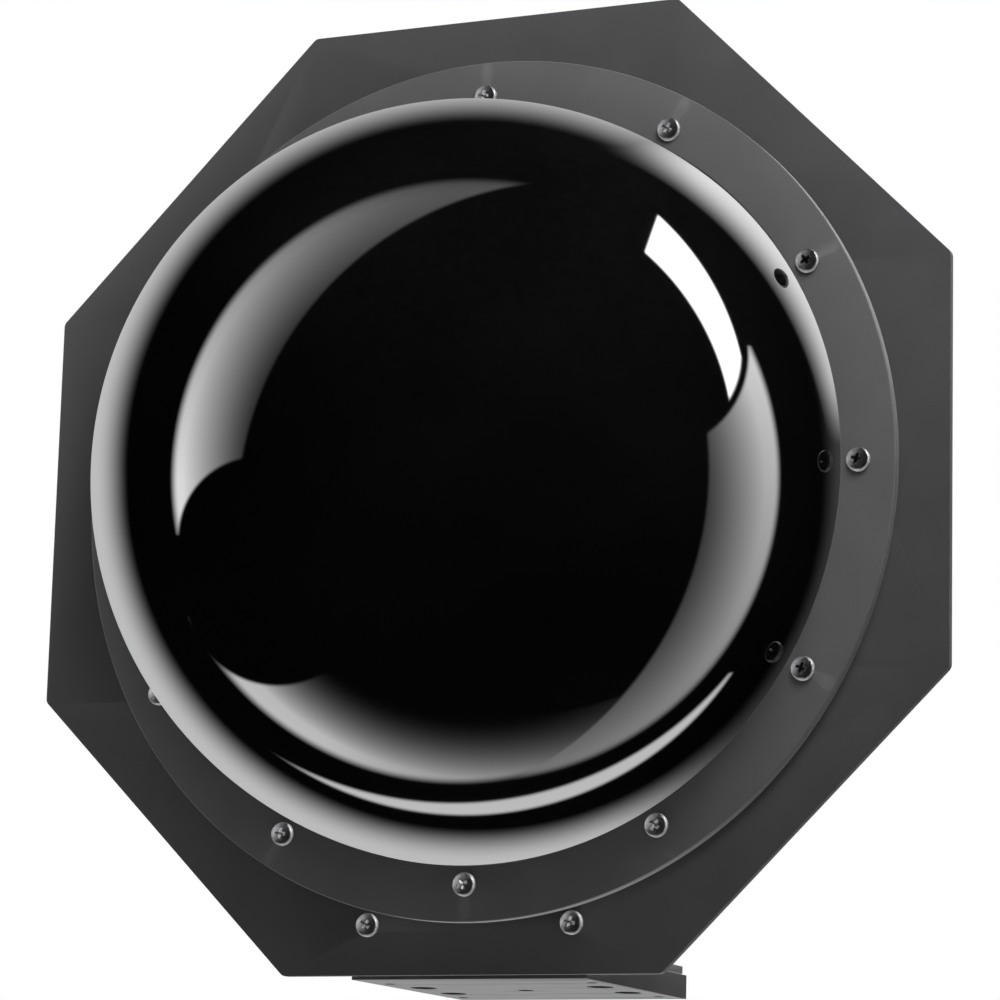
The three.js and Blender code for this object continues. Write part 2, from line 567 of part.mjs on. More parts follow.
function footScrews() {
  return [['left', -1], ['right', 1]].map(([hand, sign]) => {
    const screw = crossScrew(`foot_screw_${hand}`, M4, PLATE_THICKNESS + BRACKET_THICKNESS + 2, screwBlack);
    screw.position.set(sign * FOOT_SCREW_SPACING / 2, FACE_Y - SEAT, FOOT_SCREW_HEIGHT);
    return screw;
  });
}

function blockScrews() {
  const length = BRACKET_THICKNESS + BLOCK_THICKNESS - 2;
  return cornerPlaces.map(([x, y], i) => {
    const screw = plainScrew(`foot_block_screw_${i + 1}`, M3, length, steel);
    screw.rotation.x = -Math.PI / 2;
    screw.position.set(x, y, BRACKET_TOP + SEAT);
    return screw;
  });
}

// ---- Gears --------------------------------------------------------------------------------
const involute = (angle) => Math.tan(angle) - angle;

// Half of a tooth's angle at a radius, for teeth thinned by the backlash.
function halfTooth(gear, teeth, radius) {
  const pitch = gear.module * teeth / 2;
  const base = pitch * Math.cos(PRESSURE_ANGLE);
  const atPitch = Math.PI / (2 * teeth) - BACKLASH / (4 * pitch);
  const here = Math.acos(Math.min(1, base / Math.max(radius, base)));
  return atPitch + involute(PRESSURE_ANGLE) - involute(here);
}

// Points of teeth centred on angle 0, a pitch apart: half of them on each side.
function toothPoints(gear, teeth, first, last) {
  const pitch = gear.module * teeth / 2;
  const root = pitch - DEDENDUM_FACTOR * gear.module;
  const tip = pitch + ADDENDUM_FACTOR * gear.module;
  const base = Math.max(root, pitch * Math.cos(PRESSURE_ANGLE));
  const radii = [root, base, pitch, tip];
  const usable = radii.filter((radius, i) => i === 0 || radius > radii[i - 1] + 0.01);
  const points = [];
  for (let i = first; i <= last; i += 1) {
    const middle = i * 2 * Math.PI / teeth;
    const rising = usable.map((radius) => [radius, middle - halfTooth(gear, teeth, radius)]);
    const falling = [...usable].reverse().map((radius) => [radius, middle + halfTooth(gear, teeth, radius)]);
    points.push(...rising, ...falling);
  }
  return points.map(([radius, angle]) => [radius * Math.cos(angle), radius * Math.sin(angle)]);
}

const turnedShape = (points, angle) => points.map(([u, v]) => [
  u * Math.cos(angle) - v * Math.sin(angle), u * Math.sin(angle) + v * Math.cos(angle)]);

function sector(gear, halfAngle, direction, axis, from, to, hub, boreRadius) {
  const each = 2 * Math.PI / gear.teeth;
  const side = Math.ceil(halfAngle / each);
  const slice = [[0, 0], ...toothPoints(gear, gear.teeth, -side, side)];
  return cut(
    join(slab(outline(turnedShape(slice, direction)), axis, from, to), rod(axis, hub, from, to, 0, 0, MEDIUM)),
    bore(axis, boreRadius, from - 1, to + 1, 0, 0, MEDIUM));
}

// The pinion and its motor's shaft, turned so that the gap between two teeth faces the sector.
function pinion(gear, motor, direction, axis, from, to, motorFace) {
  const teeth = toothPoints(gear, gear.pinionTeeth, 0, gear.pinionTeeth - 1);
  const facing = direction + Math.PI + Math.PI / gear.pinionTeeth;
  return join(slab(outline(turnedShape(teeth, facing)), axis, from, to),
    rod(axis, motor.shaft, motorFace - motor.shaftDepth, to + 1));
}

// A motor with its face at a place on the axis, open there for its shaft.
function motorBody(motor, axis, face) {
  return cut(rod(axis, motor.radius, face - motor.length, face, 0, 0, MEDIUM),
    bore(axis, motor.shaft + FIT, face - motor.shaftDepth - FIT, face + 1));
}

const centreDistance = (gear) => gear.module * (gear.teeth + gear.pinionTeeth) / 2;
const azDirection = THREE.MathUtils.degToRad(90 - AZ_GEAR.driveAngle);
const tiltDirection = THREE.MathUtils.degToRad(-90 + TILT_GEAR.driveAngle);
const azDrive = [
  centreDistance(AZ_GEAR) * Math.cos(azDirection), centreDistance(AZ_GEAR) * Math.sin(azDirection)];
const tiltDrive = [
  centreDistance(TILT_GEAR) * Math.cos(tiltDirection), centreDistance(TILT_GEAR) * Math.sin(tiltDirection)];

// ---- Fixed part of the gimbal (places from the crossing of the azimuth and tilt axes) -------
const shelfBottom = SHELF_TOP - SHELF_THICKNESS;
const bossBottom = SHELF_TOP - BOSS_HEIGHT;
const bossRadius = AZ_BEARING.radius + FIT + BOSS_WALL;
const motorPadRadius = AZ_MOTOR.radius + 3;
const bearingPocket = AZ_BEARING.width + 2 * SEAT;

function gimbalBase() {
  const back = WALL_FROM_GIMBAL - BOSS_PAD - SEAT;
  const front = back - BASE_BACK_THICKNESS;
  const shelfShape = outline([
    [-bossRadius, 0], [-SHELF_HALF_WIDTH, 20], [-SHELF_HALF_WIDTH, front + 1],
    [SHELF_HALF_WIDTH, front + 1], [SHELF_HALF_WIDTH, 20], [bossRadius, 0]]);
  const [driveX, driveY] = azDrive;
  const whole = join(
    slab(shelfShape, 'z', shelfBottom, SHELF_TOP),
    rod('z', motorPadRadius, shelfBottom, SHELF_TOP, driveX, driveY, MEDIUM),
    rod('z', bossRadius, bossBottom, SHELF_TOP, 0, 0, MEDIUM),
    box(-SHELF_HALF_WIDTH, SHELF_HALF_WIDTH, front, back, BASE_BACK_BOTTOM, BASE_BACK_TOP));
  const web = outline(
    [[front + 1, shelfBottom + 1], [front + 1, BASE_BACK_BOTTOM], [front - 34, shelfBottom + 1]]);
  const holes = [
    bore('z', AZ_BEARING.radius - 3, bossBottom - 1, SHELF_TOP + 1, 0, 0, MEDIUM),
    bore('z', AZ_BEARING.radius + FIT, SHELF_TOP - bearingPocket - SEAT, SHELF_TOP + 1, 0, 0, MEDIUM),
    bore('z', AZ_BEARING.radius + FIT, bossBottom - 1, bossBottom + bearingPocket + SEAT, 0, 0, MEDIUM),
    bore('z', AZ_MOTOR.shaft + 1, shelfBottom - 1, SHELF_TOP + 1, driveX, driveY),
    ...baseScrewPlaces.map(([x, z]) => bore('y', M4.shank + FIT, front - 1, back + 1, x, z))];
  return piece('gimbal_base', cut(join(whole, slab(web, 'x', -3, 3)), ...holes), castMetal);
}

function gimbalScrews() {
  const front = WALL_FROM_GIMBAL - BOSS_PAD - SEAT - BASE_BACK_THICKNESS;
  return baseScrewPlaces.map(([x, z], i) => {
    const screw = plainScrew(`gimbal_screw_${i + 1}`, M4, BASE_BACK_THICKNESS + BOSS_PAD, steel);
    screw.position.set(x, front - SEAT, z);
    return screw;
  });
}

function bearing(name, size, axis, from) {
  return piece(name, tube(axis, size.bore, size.radius, from, from + size.width, MEDIUM), steel);
}

function azMotor() {
  const result = piece('az_motor', motorBody(AZ_MOTOR, 'z', shelfBottom - SEAT), motorBlack);
  result.position.set(azDrive[0], azDrive[1], 0);
  return result;
}

function azPinion() {
  const from = SHELF_TOP + 2;
  const to = from + AZ_GEAR.width;
  const body = pinion(AZ_GEAR, AZ_MOTOR, azDirection, 'z', from, to, shelfBottom - SEAT);
  const result = piece('az_pinion', body, brass);
  result.position.set(azDrive[0], azDrive[1], 0);
  return result;
}

// ---- Azimuth frame ------------------------------------------------------------------------
const yokeBottom = YOKE_FLOOR - YOKE_WALL;
const armInside = YOKE_HALF_WIDTH - YOKE_WALL;

function yoke() {
  const arm = new THREE.Shape();
  arm.moveTo(-YOKE_TOP_RADIUS, yokeBottom);
  arm.lineTo(YOKE_REAR, yokeBottom);
  arm.lineTo(YOKE_REAR, YOKE_MOTOR_TOP);
  arm.lineTo(YOKE_TOP_RADIUS, 0);
  for (let i = 1; i <= 8; i += 1) {
    const angle = i * Math.PI / 8;
    arm.lineTo(YOKE_TOP_RADIUS * Math.cos(angle), YOKE_TOP_RADIUS * Math.sin(angle));
  }
  const whole = join(
    slab(arm, 'x', -YOKE_HALF_WIDTH, -armInside),
    slab(arm, 'x', armInside, YOKE_HALF_WIDTH),
    box(-YOKE_HALF_WIDTH, YOKE_HALF_WIDTH, -YOKE_TOP_RADIUS, YOKE_REAR, yokeBottom, YOKE_FLOOR));
  return piece('yoke', cut(whole,
    bore('x', TILT_BEARING.radius + FIT, -YOKE_HALF_WIDTH - 1, YOKE_HALF_WIDTH + 1, 0, 0, MEDIUM),
    bore('x', TILT_MOTOR.shaft + 1, 0, YOKE_HALF_WIDTH + 1, tiltDrive[0], tiltDrive[1]),
    bore('z', AZ_BEARING.bore, yokeBottom - 1, YOKE_FLOOR + 1, 0, 0, MEDIUM)), castMetal);
}

function azShaft() {
  const journal = AZ_BEARING.bore - FIT;
  const shoulder = AZ_BEARING.bore + 3;
  const top = YOKE_FLOOR + SEAT + LOCK_NUT_HEIGHT;
  const bottom = bossBottom - LOCK_NUT_HEIGHT - 1;
  const collarBottom = SHELF_TOP + SEAT;
  const collarTop = yokeBottom - 2 * SEAT - AZ_GEAR.width;
  return piece('az_shaft', turned([
    [0, bottom], [journal, bottom], [journal, collarBottom], [shoulder, collarBottom],
    [shoulder, collarTop], [journal, collarTop], [journal, top], [0, top], [0, bottom]], 'z', MEDIUM), steel);
}

function azSectorGear() {
  const to = yokeBottom - SEAT;
  const half = THREE.MathUtils.degToRad(AZ_RANGE + SECTOR_SPARE_ANGLE);
  return piece('az_sector_gear',
    sector(AZ_GEAR, half, azDirection, 'z', to - AZ_GEAR.width, to, 18, AZ_BEARING.bore), brass);
}

function lockNut(name, from) {
  return piece(name, cut(
    rod('z', LOCK_NUT_RADIUS, from, from + LOCK_NUT_HEIGHT, 0, 0, 6),
    bore('z', AZ_BEARING.bore, from - 1, from + LOCK_NUT_HEIGHT + 1, 0, 0, MEDIUM)), steel);
}

function tiltMotor() {
  const result = piece('tilt_motor', motorBody(TILT_MOTOR, 'x', armInside - SEAT), motorBlack);
  result.position.set(0, tiltDrive[0], tiltDrive[1]);
  return result;
}

function tiltPinion() {
  const from = YOKE_HALF_WIDTH + 2;
  const to = from + TILT_GEAR.width;
  const body = pinion(TILT_GEAR, TILT_MOTOR, tiltDirection, 'x', from, to, armInside - SEAT);
  const result = piece('tilt_pinion', body, brass);
  result.position.set(0, tiltDrive[0], tiltDrive[1]);
  return result;
}

// ---- Tilting array ------------------------------------------------------------------------
const EAR = { inside: 27, outside: 33, radius: 11 };
const CARRIER_THICKNESS = 5;
const CARRIER_HALF_HEIGHT = 34;

function tiltFrame() {
  const back = -ARRAY_OFFSET + SEAT;
  const ear = outline([
    [back + CARRIER_THICKNESS, -24], [0, -EAR.radius], [EAR.radius * 0.87, -EAR.radius / 2],
    [EAR.radius * 0.87, EAR.radius / 2], [0, EAR.radius], [back + CARRIER_THICKNESS, 24],
    [back + 1, 24], [back + 1, -24]]);
  const whole = join(
    box(-EAR.outside, EAR.outside, -ARRAY_OFFSET + SEAT, back + CARRIER_THICKNESS,
      -CARRIER_HALF_HEIGHT, CARRIER_HALF_HEIGHT),
    slab(ear, 'x', -EAR.outside, -EAR.inside),
    slab(ear, 'x', EAR.inside, EAR.outside));
  const shaftHole = bore('x', TILT_BEARING.bore, -EAR.outside - 1, EAR.outside + 1, 0, 0, MEDIUM);
  return piece('tilt_frame', cut(whole, shaftHole), castMetal);
}

function tiltShaft() {
  const journal = TILT_BEARING.bore - FIT;
  const left = -YOKE_HALF_WIDTH - 3;
  const right = YOKE_HALF_WIDTH + 3 + TILT_GEAR.width;
  return piece('tilt_shaft', rod('x', journal, left, right, 0, 0, MEDIUM), steel);
}

function tiltSectorGear() {
  const from = YOKE_HALF_WIDTH + 2;
  const half = THREE.MathUtils.degToRad(TILT_RANGE + SECTOR_SPARE_ANGLE);
  return piece('tilt_sector_gear',
    sector(TILT_GEAR, half, tiltDirection, 'x', from, from + TILT_GEAR.width, 10, TILT_BEARING.bore), brass);
}

function arrayPlate() {
  const front = -ARRAY_OFFSET - ARRAY_THICKNESS;
  const slots = [];
  for (let row = 0; row < SLOT_ROWS; row += 1) {
    const z = (row - (SLOT_ROWS - 1) / 2) * SLOT_PITCH_Z;
    const reach = Math.sqrt(ARRAY_RADIUS ** 2 - (Math.abs(z) + SLOT_WIDTH) ** 2) - SLOT_LENGTH;
    const side = Math.floor(reach / SLOT_PITCH_X);
    for (let column = -side; column <= side; column += 1) {
      const x = column * SLOT_PITCH_X;
      slots.push(box(x - SLOT_LENGTH / 2, x + SLOT_LENGTH / 2, front - 1, front + SLOT_DEPTH,
        z - SLOT_WIDTH / 2, z + SLOT_WIDTH / 2));
    }
  }
  return piece('array_plate', cut(rod('y', ARRAY_RADIUS, front, -ARRAY_OFFSET, 0, 0, 48), ...slots), castMetal);
}

function transceiver() {
  const front = -ARRAY_OFFSET + SEAT + CARRIER_THICKNESS + SEAT;
  return piece('transceiver_module', join(
    box(-24, 24, front, -11, -29, 29),
    rod('y', 4, -12, -6, -14, 18),
    rod('y', 4, -12, -6, 14, 18)), castMetal);
}

// ---- Assembly -----------------------------------------------------------------------------
const antenna = new THREE.Group();

const casing = new THREE.Group();
casing.position.set(0, FACE_Y, AXIS_HEIGHT);
casing.add(
  facePlate(), clampRing(), radome(), radomeGasket(), ...ringScrews(),
  housingGasket(), rearHousing(), heatSink(), ...sinkScrews(),
  connector('power_connector', POWER), connector('data_connector', DATA),
  breatherVent(), groundStud(), mainBoard(), powerModule());

const foot = new THREE.Group();
foot.add(footBlock(), footBracket(), ...footScrews(), ...blockScrews());

const gimbal = new THREE.Group();
gimbal.position.set(0, GIMBAL_BACK, 0);
const azimuth = new THREE.Group();
const tilt = new THREE.Group();
gimbal.add(
  gimbalBase(), ...gimbalScrews(),
  bearing('az_bearing_upper', AZ_BEARING, 'z', SHELF_TOP - bearingPocket),
  bearing('az_bearing_lower', AZ_BEARING, 'z', bossBottom + SEAT),
  azMotor(), azPinion(), azimuth);
azimuth.add(
  yoke(), azShaft(), azSectorGear(), lockNut('az_top_nut', YOKE_FLOOR + SEAT),
  lockNut('az_lock_nut', bossBottom - SEAT - LOCK_NUT_HEIGHT),
  bearing('tilt_bearing_left', TILT_BEARING, 'x', -YOKE_HALF_WIDTH),
  bearing('tilt_bearing_right', TILT_BEARING, 'x', YOKE_HALF_WIDTH - TILT_BEARING.width),
  tiltMotor(), tiltPinion(), tilt);
tilt.add(tiltFrame(), tiltShaft(), tiltSectorGear(), arrayPlate(), transceiver());
casing.add(gimbal);

antenna.add(casing, foot);
export default antenna;
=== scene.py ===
"""Looks of the radar dome antenna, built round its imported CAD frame.

Metres, +Z up; the dome looks along -Y.
"""
import json
import math

import bmesh
import bpy
from mathutils import Matrix, Vector

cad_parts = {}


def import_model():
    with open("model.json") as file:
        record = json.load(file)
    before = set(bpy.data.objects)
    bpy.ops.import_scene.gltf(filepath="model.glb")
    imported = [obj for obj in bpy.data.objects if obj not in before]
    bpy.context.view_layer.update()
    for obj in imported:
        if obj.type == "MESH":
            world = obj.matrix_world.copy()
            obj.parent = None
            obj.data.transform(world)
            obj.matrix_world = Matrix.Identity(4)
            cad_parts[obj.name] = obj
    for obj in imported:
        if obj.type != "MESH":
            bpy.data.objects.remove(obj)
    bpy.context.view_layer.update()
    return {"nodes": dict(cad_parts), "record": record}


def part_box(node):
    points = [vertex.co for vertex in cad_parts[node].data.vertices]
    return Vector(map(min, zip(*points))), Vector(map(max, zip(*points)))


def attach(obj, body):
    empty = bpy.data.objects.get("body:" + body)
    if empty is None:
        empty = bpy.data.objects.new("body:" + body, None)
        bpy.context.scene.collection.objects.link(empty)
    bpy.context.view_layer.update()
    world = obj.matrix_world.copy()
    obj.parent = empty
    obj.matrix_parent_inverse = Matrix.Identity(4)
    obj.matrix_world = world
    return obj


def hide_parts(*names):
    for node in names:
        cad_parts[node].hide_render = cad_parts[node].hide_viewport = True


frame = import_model()
cad_nodes = frame["nodes"]
scene = bpy.context.scene
scene.view_settings.view_transform = "Standard"

MM = 0.001
BODY = "mast_unit"

# ---- Places read from the CAD -------------------------------------------------------------
plate_low, plate_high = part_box("face_plate")
ring_low, ring_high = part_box("clamp_ring")
dome_low, dome_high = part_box("radome")
tub_low, tub_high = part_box("rear_housing")
block_low, block_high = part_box("foot_block")
bracket_low, bracket_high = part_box("foot_bracket")
sink_low, sink_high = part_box("heatsink")

AXIS = Vector((0.0, plate_low.y, (plate_low.z + plate_high.z) / 2))   # dome's axis at the plate's front


def middle(node):
    low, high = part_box(node)
    return (low + high) / 2


# ---- Camera -------------------------------------------------------------------------------
CAMERA_PLACE = Vector((0.54593, -1.25164, -0.10008))
CAMERA_RIGHT = Vector((0.9173344, 0.39729389, 0.025596))
CAMERA_UP = Vector((0.05438346, -0.18873991, 0.98052011))
TO_CAMERA = Vector((0.39438564, -0.89807283, -0.19474383))


def add_camera():
    data = bpy.data.cameras.new("camera")
    data.lens = 141.37
    data.sensor_width = 36
    data.clip_start = 0.01
    camera = bpy.data.objects.new("camera", data)
    scene.collection.objects.link(camera)
    axes = Matrix((CAMERA_RIGHT, CAMERA_UP, TO_CAMERA)).transposed().to_4x4()
    camera.matrix_world = Matrix.Translation(CAMERA_PLACE) @ axes
    scene.camera = camera


# ---- Node helpers -------------------------------------------------------------------------
class Nodes:
    """Short calls for building a node tree."""

    def __init__(self, owner):
        owner.use_nodes = True
        self.tree = owner.node_tree
        self.tree.nodes.clear()

    def add(self, kind, **settings):
        node = self.tree.nodes.new(kind)
        for key, value in settings.items():
            setattr(node, key, value)
        return node

    def feed(self, socket, value):
        if isinstance(value, bpy.types.NodeSocket):
            self.tree.links.new(value, socket)
        else:
            socket.default_value = value

    def math(self, operation, *values, clamp=False):
        node = self.add("ShaderNodeMath", operation=operation, use_clamp=clamp)
        for socket, value in zip(node.inputs, values):
            self.feed(socket, value)
        return node.outputs[0]

    def vector(self, operation, *values):
        node = self.add("ShaderNodeVectorMath", operation=operation)
        for socket, value in zip(node.inputs, values):
            self.feed(socket, value)
        scalar = operation in ("DOT_PRODUCT", "DISTANCE", "LENGTH")
        return node.outputs["Value" if scalar else "Vector"]

    def ramp(self, value, start, end, low=0.0, high=1.0, smooth=True):
        node = self.add("ShaderNodeMapRange", interpolation_type="SMOOTHSTEP" if smooth else "LINEAR")
        for socket, item in zip(node.inputs, (value, start, end, low, high)):
            self.feed(socket, item)
        return node.outputs[0]

    def product(self, first, *others):
        for other in others:
            first = self.math("MULTIPLY", first, other)
        return first

    def brightest(self, first, *others):
        for other in others:
            first = self.math("MAXIMUM", first, other)
        return first


# ---- Studio -------------------------------------------------------------------------------
# Soft boxes and screens stand all round the object. Each is described by the tilt that a polished
# surface needs to mirror it towards the camera: (0, 0) faces the camera, and length 1 is edge on.
# They are laid out and made brighter or dimmer for that one camera, and only mirrored rays see them.
AMBIENT = 0.36
SHRINK = 1.035                     # the camera is near, so the dome mirrors more than it would from afar


def studio_pattern(n):
    direction = n.add("ShaderNodeTexCoord").outputs["Generated"]
    half = n.vector("NORMALIZE", n.vector("ADD", direction, TO_CAMERA))
    across = n.vector("DOT_PRODUCT", half, CAMERA_RIGHT)
    upward = n.vector("DOT_PRODUCT", half, CAMERA_UP)
    facing = n.vector("DOT_PRODUCT", half, TO_CAMERA)
    place = n.add("ShaderNodeCombineXYZ")
    n.feed(place.inputs[0], across)
    n.feed(place.inputs[1], upward)
    rim = n.vector("LENGTH", place.outputs[0])
    place = n.vector("MULTIPLY", place.outputs[0], (SHRINK, SHRINK, 0.0))
    upward = n.math("MULTIPLY", upward, SHRINK)
    across = n.math("MULTIPLY", across, SHRINK)
    radius = n.vector("LENGTH", place)

    def distance(x, y):
        return n.vector("DISTANCE", place, (x, y, 0.0))

    def inside(x, y, size, soft=0.006):
        return n.ramp(distance(x, y), size - soft, size + soft, 1.0, 0.0)

    def outside(x, y, size, soft=0.006):
        return n.ramp(distance(x, y), size - soft, size + soft)

    def beyond(value, edge, soft=0.004):
        return n.ramp(value, edge - soft, edge + soft)

    def before(value, edge, soft=0.004):
        return n.ramp(value, edge - soft, edge + soft, 1.0, 0.0)

    def falloff(inner, outer, power=1.8):
        return n.math("POWER", n.ramp(radius, inner, outer, smooth=False), power)

    left_screen = n.product(
        inside(-0.006, 0.009, 0.779, 0.012), outside(0.272, -0.097, 0.889), outside(-0.564, -0.145, 0.211),
        beyond(upward, -0.135), falloff(0.56, 0.76),
        n.ramp(upward, 0.0, 0.86, 0.52, 0.0, smooth=False))
    right_screen = n.product(
        inside(0.002, 0.016, 0.793, 0.010), outside(-0.286, 0.036, 0.896), outside(0.463, 0.337, 0.253),
        before(upward, 0.36), falloff(0.54, 0.76),
        n.math("MULTIPLY", n.math("EXPONENT", n.math("MULTIPLY", upward, 1.2)), 0.31))
    low_screen = n.product(
        inside(-0.044, 0.001, 0.782, 0.012), outside(0.069, 0.327, 0.937), outside(-0.517, -0.285, 0.244),
        before(upward, -0.35), falloff(0.6, 0.77, 3.0),
        n.ramp(across, -0.4, 0.36, 0.36, 0.08, smooth=False))
    strip = n.product(
        inside(-0.026, -0.030, 0.844), outside(-0.056, 0.099, 0.941), before(upward, -0.5), 0.34)
    leaning = n.math("ADD", n.math("MULTIPLY", across, 0.945), n.math("MULTIPLY", upward, -0.326))
    window = n.product(
        inside(0.003, 0.176, 0.709, 0.004), outside(0.004, 0.094, 0.671, 0.004), beyond(leaning, 0.222),
        n.brightest(inside(0.463, 0.337, 0.232), beyond(upward, 0.324, 0.01)), 1.15)
    lifted = n.math("SUBTRACT", rim, n.math("MULTIPLY", n.math("MAXIMUM", upward, 0.0), 0.042))
    backdrop = n.product(
        n.ramp(lifted, 0.880, 0.982, 0.0, 0.41), n.ramp(across, 0.3, 0.72, 1.0, 0.15))
    lit_side = n.product(
        n.ramp(rim, 0.895, 0.99, 0.0, 0.6), beyond(rim, 0.905, 0.006),
        n.ramp(upward, 0.05, 0.30), n.ramp(across, 0.30, 0.62))
    tone = n.brightest(left_screen, right_screen, low_screen, strip, window, backdrop, lit_side)
    returned = n.math("ADD", 0.04, n.math("MULTIPLY", 0.96, n.math(
        "POWER", n.math("SUBTRACT", 1.0, facing, clamp=True), 5.0)))
    return n.math("DIVIDE", tone, returned)


def add_world():
    world = bpy.data.worlds.new("studio")
    scene.world = world
    n = Nodes(world)
    path = n.add("ShaderNodeLightPath").outputs
    mirrored = n.math("MAXIMUM", path["Is Glossy Ray"], path["Is Transmission Ray"])
    unseen = n.math("ADD", AMBIENT, n.math("MULTIPLY", mirrored, n.math(
        "SUBTRACT", studio_pattern(n), AMBIENT)))
    strength = n.math("ADD", path["Is Camera Ray"], n.math(
        "MULTIPLY", n.math("SUBTRACT", 1.0, path["Is Camera Ray"]), unseen))
    light = n.add("ShaderNodeBackground")
    light.inputs["Color"].default_value = (1.0, 1.0, 1.0, 1.0)
    n.feed(light.inputs["Strength"], strength)
    n.feed(n.add("ShaderNodeOutputWorld").inputs["Surface"], light.outputs[0])
    world.cycles.sampling_method = "NONE"


def add_lamp(name, place, target, size, power):
    data = bpy.data.lights.new(name, "AREA")
    data.shape = "DISK"
    data.size = size
    data.energy = power
    lamp = bpy.data.objects.new(name, data)
    scene.collection.objects.link(lamp)
    lamp.location = place
    lamp.rotation_mode = "QUATERNION"
    lamp.rotation_quaternion = (Vector(target) - Vector(place)).to_track_quat("-Z", "Y")
    lamp.visible_camera = False
    lamp.visible_glossy = False
    return lamp


def add_lamps():
    add_lamp("key", (0.30, -0.34, 0.56), AXIS, 0.32, 5.4)
    add_lamp("front_fill", (0.5, -1.6, 0.9), AXIS, 0.9, 3.4)
    add_lamp("back_left", (-0.8, 1.1, 0.9), AXIS, 0.9, 26.0)
    add_lamp("back_right", (0.9, 1.0, 0.5), AXIS, 0.9, 16.0)
    add_lamp("top", (0.0, 0.2, 1.5), AXIS, 1.2, 12.0)


def add_floor():
    mesh = bpy.data.meshes.new("floor")
    reach, drop = 6.0, -0.6
    corners = [(-reach, -reach, drop), (reach, -reach, drop), (reach, reach, drop), (-reach, reach, drop)]
    mesh.from_pydata(corners, [], [(0, 1, 2, 3)])
    floor = bpy.data.objects.new("floor", mesh)
    scene.collection.objects.link(floor)
    material = bpy.data.materials.new("floor")
    n = Nodes(material)
    paint = n.add("ShaderNodeBsdfDiffuse")
    paint.inputs["Color"].default_value = (0.86, 0.86, 0.86, 1)
    n.feed(n.add("ShaderNodeOutputMaterial").inputs["Surface"], paint.outputs[0])
    mesh.materials.append(material)
    floor.visible_glossy = False


# ---- Finishes -----------------------------------------------------------------------------
def finish(name, colour, roughness, metallic=0.0, mottle=0.1, mottle_scale=60.0,
           grain=0.05, grain_scale=1400.0, spread=0.04, stretch=(1, 1, 1),
           wear=0.0, coat=0.0, specular=0.5, ior=1.5):
    """A procedural finish: uneven colour and roughness, a fine grain, and worn edges."""
    material = bpy.data.materials.new(name)
    n = Nodes(material)
    shader = n.add("ShaderNodeBsdfPrincipled")
    mapping = n.add("ShaderNodeMapping")
    mapping.inputs["Scale"].default_value = stretch
    n.feed(mapping.inputs["Vector"], n.add("ShaderNodeTexCoord").outputs["Object"])

    def noise(scale, detail):
        node = n.add("ShaderNodeTexNoise")
        node.inputs["Scale"].default_value = scale
        node.inputs["Detail"].default_value = detail
        n.feed(node.inputs["Vector"], mapping.outputs[0])
        return node.outputs["Fac"]

    patches, specks = noise(mottle_scale, 4.0), noise(grain_scale, 3.0)
    uneven = n.math("ADD", n.math("MULTIPLY", patches, 0.7), n.math("MULTIPLY", specks, 0.3))
    shade = n.add("ShaderNodeMix", data_type="RGBA")
    n.feed(shade.inputs["Factor"], n.ramp(uneven, 0.3, 0.7))
    n.feed(shade.inputs["A"], (*(c * (1 - mottle) for c in colour), 1))
    n.feed(shade.inputs["B"], (*(c * (1 + mottle) for c in colour), 1))
    result = shade.outputs["Result"]
    if wear:
        edge = n.add("ShaderNodeMix", data_type="RGBA")
        pointed = n.add("ShaderNodeNewGeometry").outputs["Pointiness"]
        worn = n.product(n.ramp(pointed, 0.53, 0.62), n.ramp(patches, 0.35, 0.65), wear)
        n.feed(edge.inputs["Factor"], worn)
        n.feed(edge.inputs["A"], result)
        n.feed(edge.inputs["B"], (*(min(1.0, 2.5 * c + 0.05) for c in colour), 1))
        result = edge.outputs["Result"]
    n.feed(shader.inputs["Base Color"], result)
    n.feed(shader.inputs["Roughness"], n.ramp(uneven, 0.25, 0.75, roughness - spread, roughness + spread))
    bump = n.add("ShaderNodeBump")
    bump.inputs["Strength"].default_value = grain
    bump.inputs["Distance"].default_value = 0.2 * MM
    n.feed(bump.inputs["Height"], specks)
    n.feed(shader.inputs["Normal"], bump.outputs[0])
    shader.inputs["Metallic"].default_value = metallic
    shader.inputs["IOR"].default_value = ior
    shader.inputs["Specular IOR Level"].default_value = specular
    shader.inputs["Coat Weight"].default_value = coat
    n.feed(n.add("ShaderNodeOutputMaterial").inputs["Surface"], shader.outputs[0])
    return material


PLATE_COAT = finish("plate_coat", (0.031, 0.031, 0.032), 0.48, mottle=0.06, grain=0.06,
                    wear=0.15, specular=0.28)
RING_COAT = finish("ring_coat", (0.056, 0.056, 0.057), 0.44, mottle=0.05, grain=0.05,
                   wear=0.15, specular=0.28)
DOME_GLOSS = finish("dome_gloss", (0.0015, 0.0015, 0.0016), 0.03, mottle=0.3, mottle_scale=14.0, grain=0.0,
                    grain_scale=300.0, spread=0.008)
SCREW_BLACK = finish("screw_black", (0.2, 0.2, 0.205), 0.44, metallic=1.0, mottle=0.25, mottle_scale=900.0,
                     grain=0.12, grain_scale=4000.0, spread=0.06, wear=0.5)
HOUSING_COAT = finish("housing_coat", (0.034, 0.034, 0.035), 0.5, mottle=0.035, grain=0.12, grain_scale=900.0,
                      spread=0.015, wear=0.15)
FOOT_COAT = finish("foot_coat", (0.026, 0.026, 0.027), 0.34, mottle=0.03, grain=0.05,
                   spread=0.015, wear=0.15, specular=0.1)
BRACKET_COAT = finish("bracket_coat", (0.03, 0.03, 0.031), 0.45, mottle=0.08, grain=0.06, wear=0.3)
RUBBER = finish("gasket_rubber", (0.012, 0.012, 0.012), 0.8, mottle=0.2, grain=0.2, grain_scale=2500.0)
NICKEL = finish("connector_metal", (0.55, 0.54, 0.51), 0.28, metallic=1.0, mottle=0.08, grain=0.04,
                spread=0.06)
